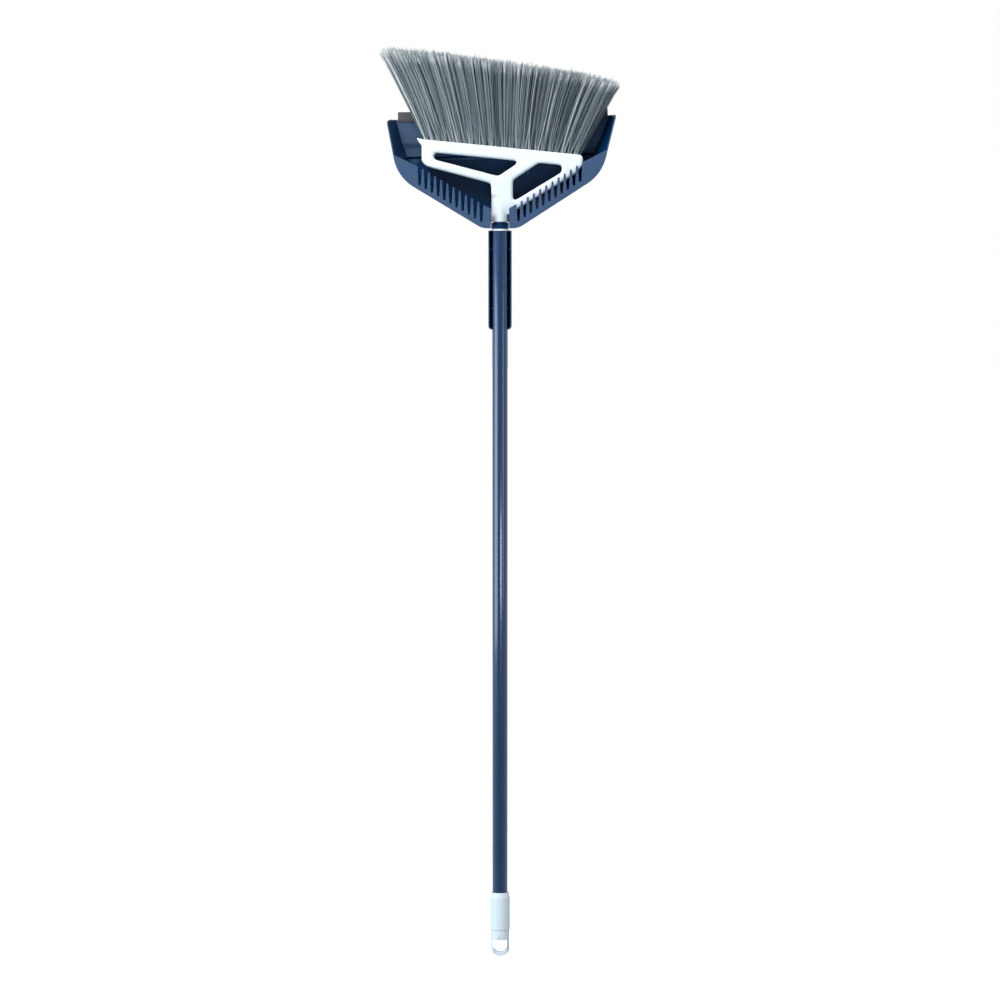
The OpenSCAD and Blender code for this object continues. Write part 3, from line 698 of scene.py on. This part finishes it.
# %% Curves to closed tubes
FILAMENT_R = 0.26


def grow_column(column):
    """Curves of one column of tufts, and the facts of each point."""
    curve = bpy.data.curves.new("filaments", "CURVE")
    curve.dimensions = "3D"
    curve.bevel_depth = FILAMENT_R * MM
    curve.bevel_resolution = 0
    facts = []
    for row in range(ROWS):
        grow_tuft(curve, facts, tuft_x(column, row), row)
    return curve, facts


def tubes(curve, facts):
    """The curves as closed tubes, with the facts kept at every vertex."""
    work = bpy.data.objects.new("work", curve)
    scene.collection.objects.link(work)
    mesh = bpy.data.meshes.new_from_object(work.evaluated_get(bpy.context.evaluated_depsgraph_get()))
    bpy.data.objects.remove(work)
    bpy.data.curves.remove(curve)
    bm = bmesh.new()
    bm.from_mesh(mesh)
    bpy.data.meshes.remove(mesh)
    layer = bm.verts.layers.float_vector.new("filament")
    sides = len(bm.verts) // len(facts)
    for k, vert in enumerate(bm.verts):
        vert[layer] = facts[k // sides]
    bmesh.ops.holes_fill(bm, edges=[e for e in bm.edges if e.is_boundary], sides=sides)
    return bm


print("a filament is", 2 * FILAMENT_R, "mm thick")

# %% Grow every column
FILAMENT_CREASE = 80
for column, node in enumerate(TUFT_NODES):
    curve, facts = grow_column(column)
    bm = tubes(curve, facts)
    name = f"bristles_{column + 1:02d}"
    add_piece(bm, name, node, "head", filament_pet, crease=FILAMENT_CREASE)

# %% [markdown]
# ## Studio floor
# A catalogue picture is taken on a white sweep of paper. A large plane that glows looks just as white and
# has no edge in view. The light that it would throw back onto the broom is left out, so the plane is hidden
# from diffuse and glossy rays, and the world gives a soft fill instead.

# %% Floor
FLOOR_SIZE = 25
floor_z = cad_box[0].z
bm = bmesh.new()
bmesh.ops.create_grid(bm, x_segments=1, y_segments=1, size=FLOOR_SIZE,
                      matrix=Matrix.Translation((0, 0, floor_z)))
floor_mesh = bpy.data.meshes.new("studio_floor")
bm.to_mesh(floor_mesh)
bm.free()
floor = bpy.data.objects.new("studio_floor", floor_mesh)
scene.collection.objects.link(floor)
floor.visible_diffuse = False
floor.visible_glossy = False
print("floor at", round(floor_z, 4), "m")

# %% Floor paint
FLOOR_CLOUD_MM = 900
floor_paint, tree, shader = new_material("matt_white_studio_floor", PLASTIC_IOR)
place = add(tree, "TexCoord").outputs["Object"]
cloud = add(tree, "TexNoise", {"Vector": place, "Scale": per_mm(FLOOR_CLOUD_MM)}).outputs["Fac"]
tint = add(tree, "Mix", {"Factor": cloud, "A": linear("#f4f6f8"), "B": linear("#ffffff")}, data_type="RGBA")
tree.links.new(tint.outputs["Result"], shader.inputs["Base Color"])
shader.inputs["Roughness"].default_value = 0.9
shader.inputs["Emission Color"].default_value = linear("#ffffff")
shader.inputs["Emission Strength"].default_value = 0.9
floor_mesh.materials.append(floor_paint)
print("floor is", floor_paint.name)

# %% [markdown]
# ## Camera
# The camera stands far off with a long lens, so the broom is seen almost without perspective, and a little
# above its middle. The picture is square and spans 1.4 m where the pole stands. A lens can be found by trial,
# but it also follows from that span: the sensor is to the lens as the span is to the distance.

# %% Photo camera
PHOTO_SPAN = 1.4
CAMERA_FAR = 5.6
CAMERA_Z = 0.4765
AIM_Z = 0.1075
SENSOR = 36
eye = Vector((0, -CAMERA_FAR, CAMERA_Z))
aim = Vector((0, 0, AIM_Z))
camera_data = bpy.data.cameras.new("photo_camera")
camera_data.sensor_width = SENSOR
camera_data.lens = SENSOR * (aim - eye).length / PHOTO_SPAN
camera = bpy.data.objects.new("photo_camera", camera_data)
camera.location = eye
camera.rotation_euler = (aim - eye).to_track_quat("-Z", "Y").to_euler()
scene.collection.objects.link(camera)
scene.camera = camera
print("lens:", round(camera_data.lens, 1), "mm")

# %% [markdown]
# ## Lamps
# A glossy pole shows every lamp as a bright line, so the lamps are chosen by the lines that they draw. A
# large softbox above and to the left is the key light. A wide one on the left makes the broad, soft band on
# the pole, a weak one on the right lifts its dark side, and a small one near the camera draws the thin line
# between them. Point lamps would leave hard dots and shadows.

# %% Softboxes
def softbox(name, place, target, width, height, power, colour="#ffffff"):
    """A rectangular lamp that faces a target."""
    data = bpy.data.lights.new(name, "AREA")
    data.shape = "RECTANGLE"
    data.size = width
    data.size_y = height
    data.energy = power
    data.color = linear(colour)[:3]
    lamp = bpy.data.objects.new(name, data)
    lamp.location = place
    lamp.rotation_euler = (Vector(target) - Vector(place)).to_track_quat("-Z", "Y").to_euler()
    lamp.visible_camera = False
    scene.collection.objects.link(lamp)
    print(name, "gives", power, "W")


softbox("key_top", (-1.4, -2.4, 2.7), (0, 0, 0.5), width=1.7, height=1.7, power=135)
softbox("pole_left", (-2.6, -1.5, 0.2), (0, 0, 0.2), width=2.6, height=1.5, power=47, colour="#e8f0fb")
softbox("pole_right", (2.2, -2.05, 0.3), (0, 0, 0.3), width=0.7, height=1.3, power=7, colour="#e8f0fb")
softbox("pole_line", (0.95, -3.9, -0.26), (0, 0, 0), width=1.1, height=0.48, power=20, colour="#d6e4fb")

# %% [markdown]
# ## White surround
# The backdrop has to look pure white, but a world that shines white from everywhere would wash out the navy.
# So the world has two sides: rays from the camera see white, and all other rays see a cool fill, which is dim
# in front, where it would mirror in the pole and the tray, and brighter behind, where it lights the rims.

# %% World
FILL_LIGHT_FRONT = 0.24
FILL_LIGHT_BACK = 0.9
world = bpy.data.worlds.new("studio_white")
world.use_nodes = True
scene.world = world
tree = world.node_tree
seen = add(tree, "Background", {"Color": linear("#ffffff"), "Strength": 1.0})
towards = add(tree, "SeparateXYZ", {"Vector": add(tree, "TexCoord").outputs["Generated"]}).outputs["Y"]
level = add(tree, "MapRange", {"Value": towards, "From Min": -1.0, "From Max": 0.2,
                               "To Min": FILL_LIGHT_FRONT, "To Max": FILL_LIGHT_BACK})
fill = add(tree, "Background", {"Color": linear("#e2ecf7"), "Strength": level.outputs["Result"]})
ray = add(tree, "LightPath").outputs["Is Camera Ray"]
both = add(tree, "MixShader", {0: ray, 1: fill.outputs[0], 2: seen.outputs[0]})
tree.links.new(both.outputs[0], tree.nodes["World Output"].inputs["Surface"])
scene.view_settings.view_transform = "Standard"
print("fill:", FILL_LIGHT_FRONT, "in front,", FILL_LIGHT_BACK, "behind")
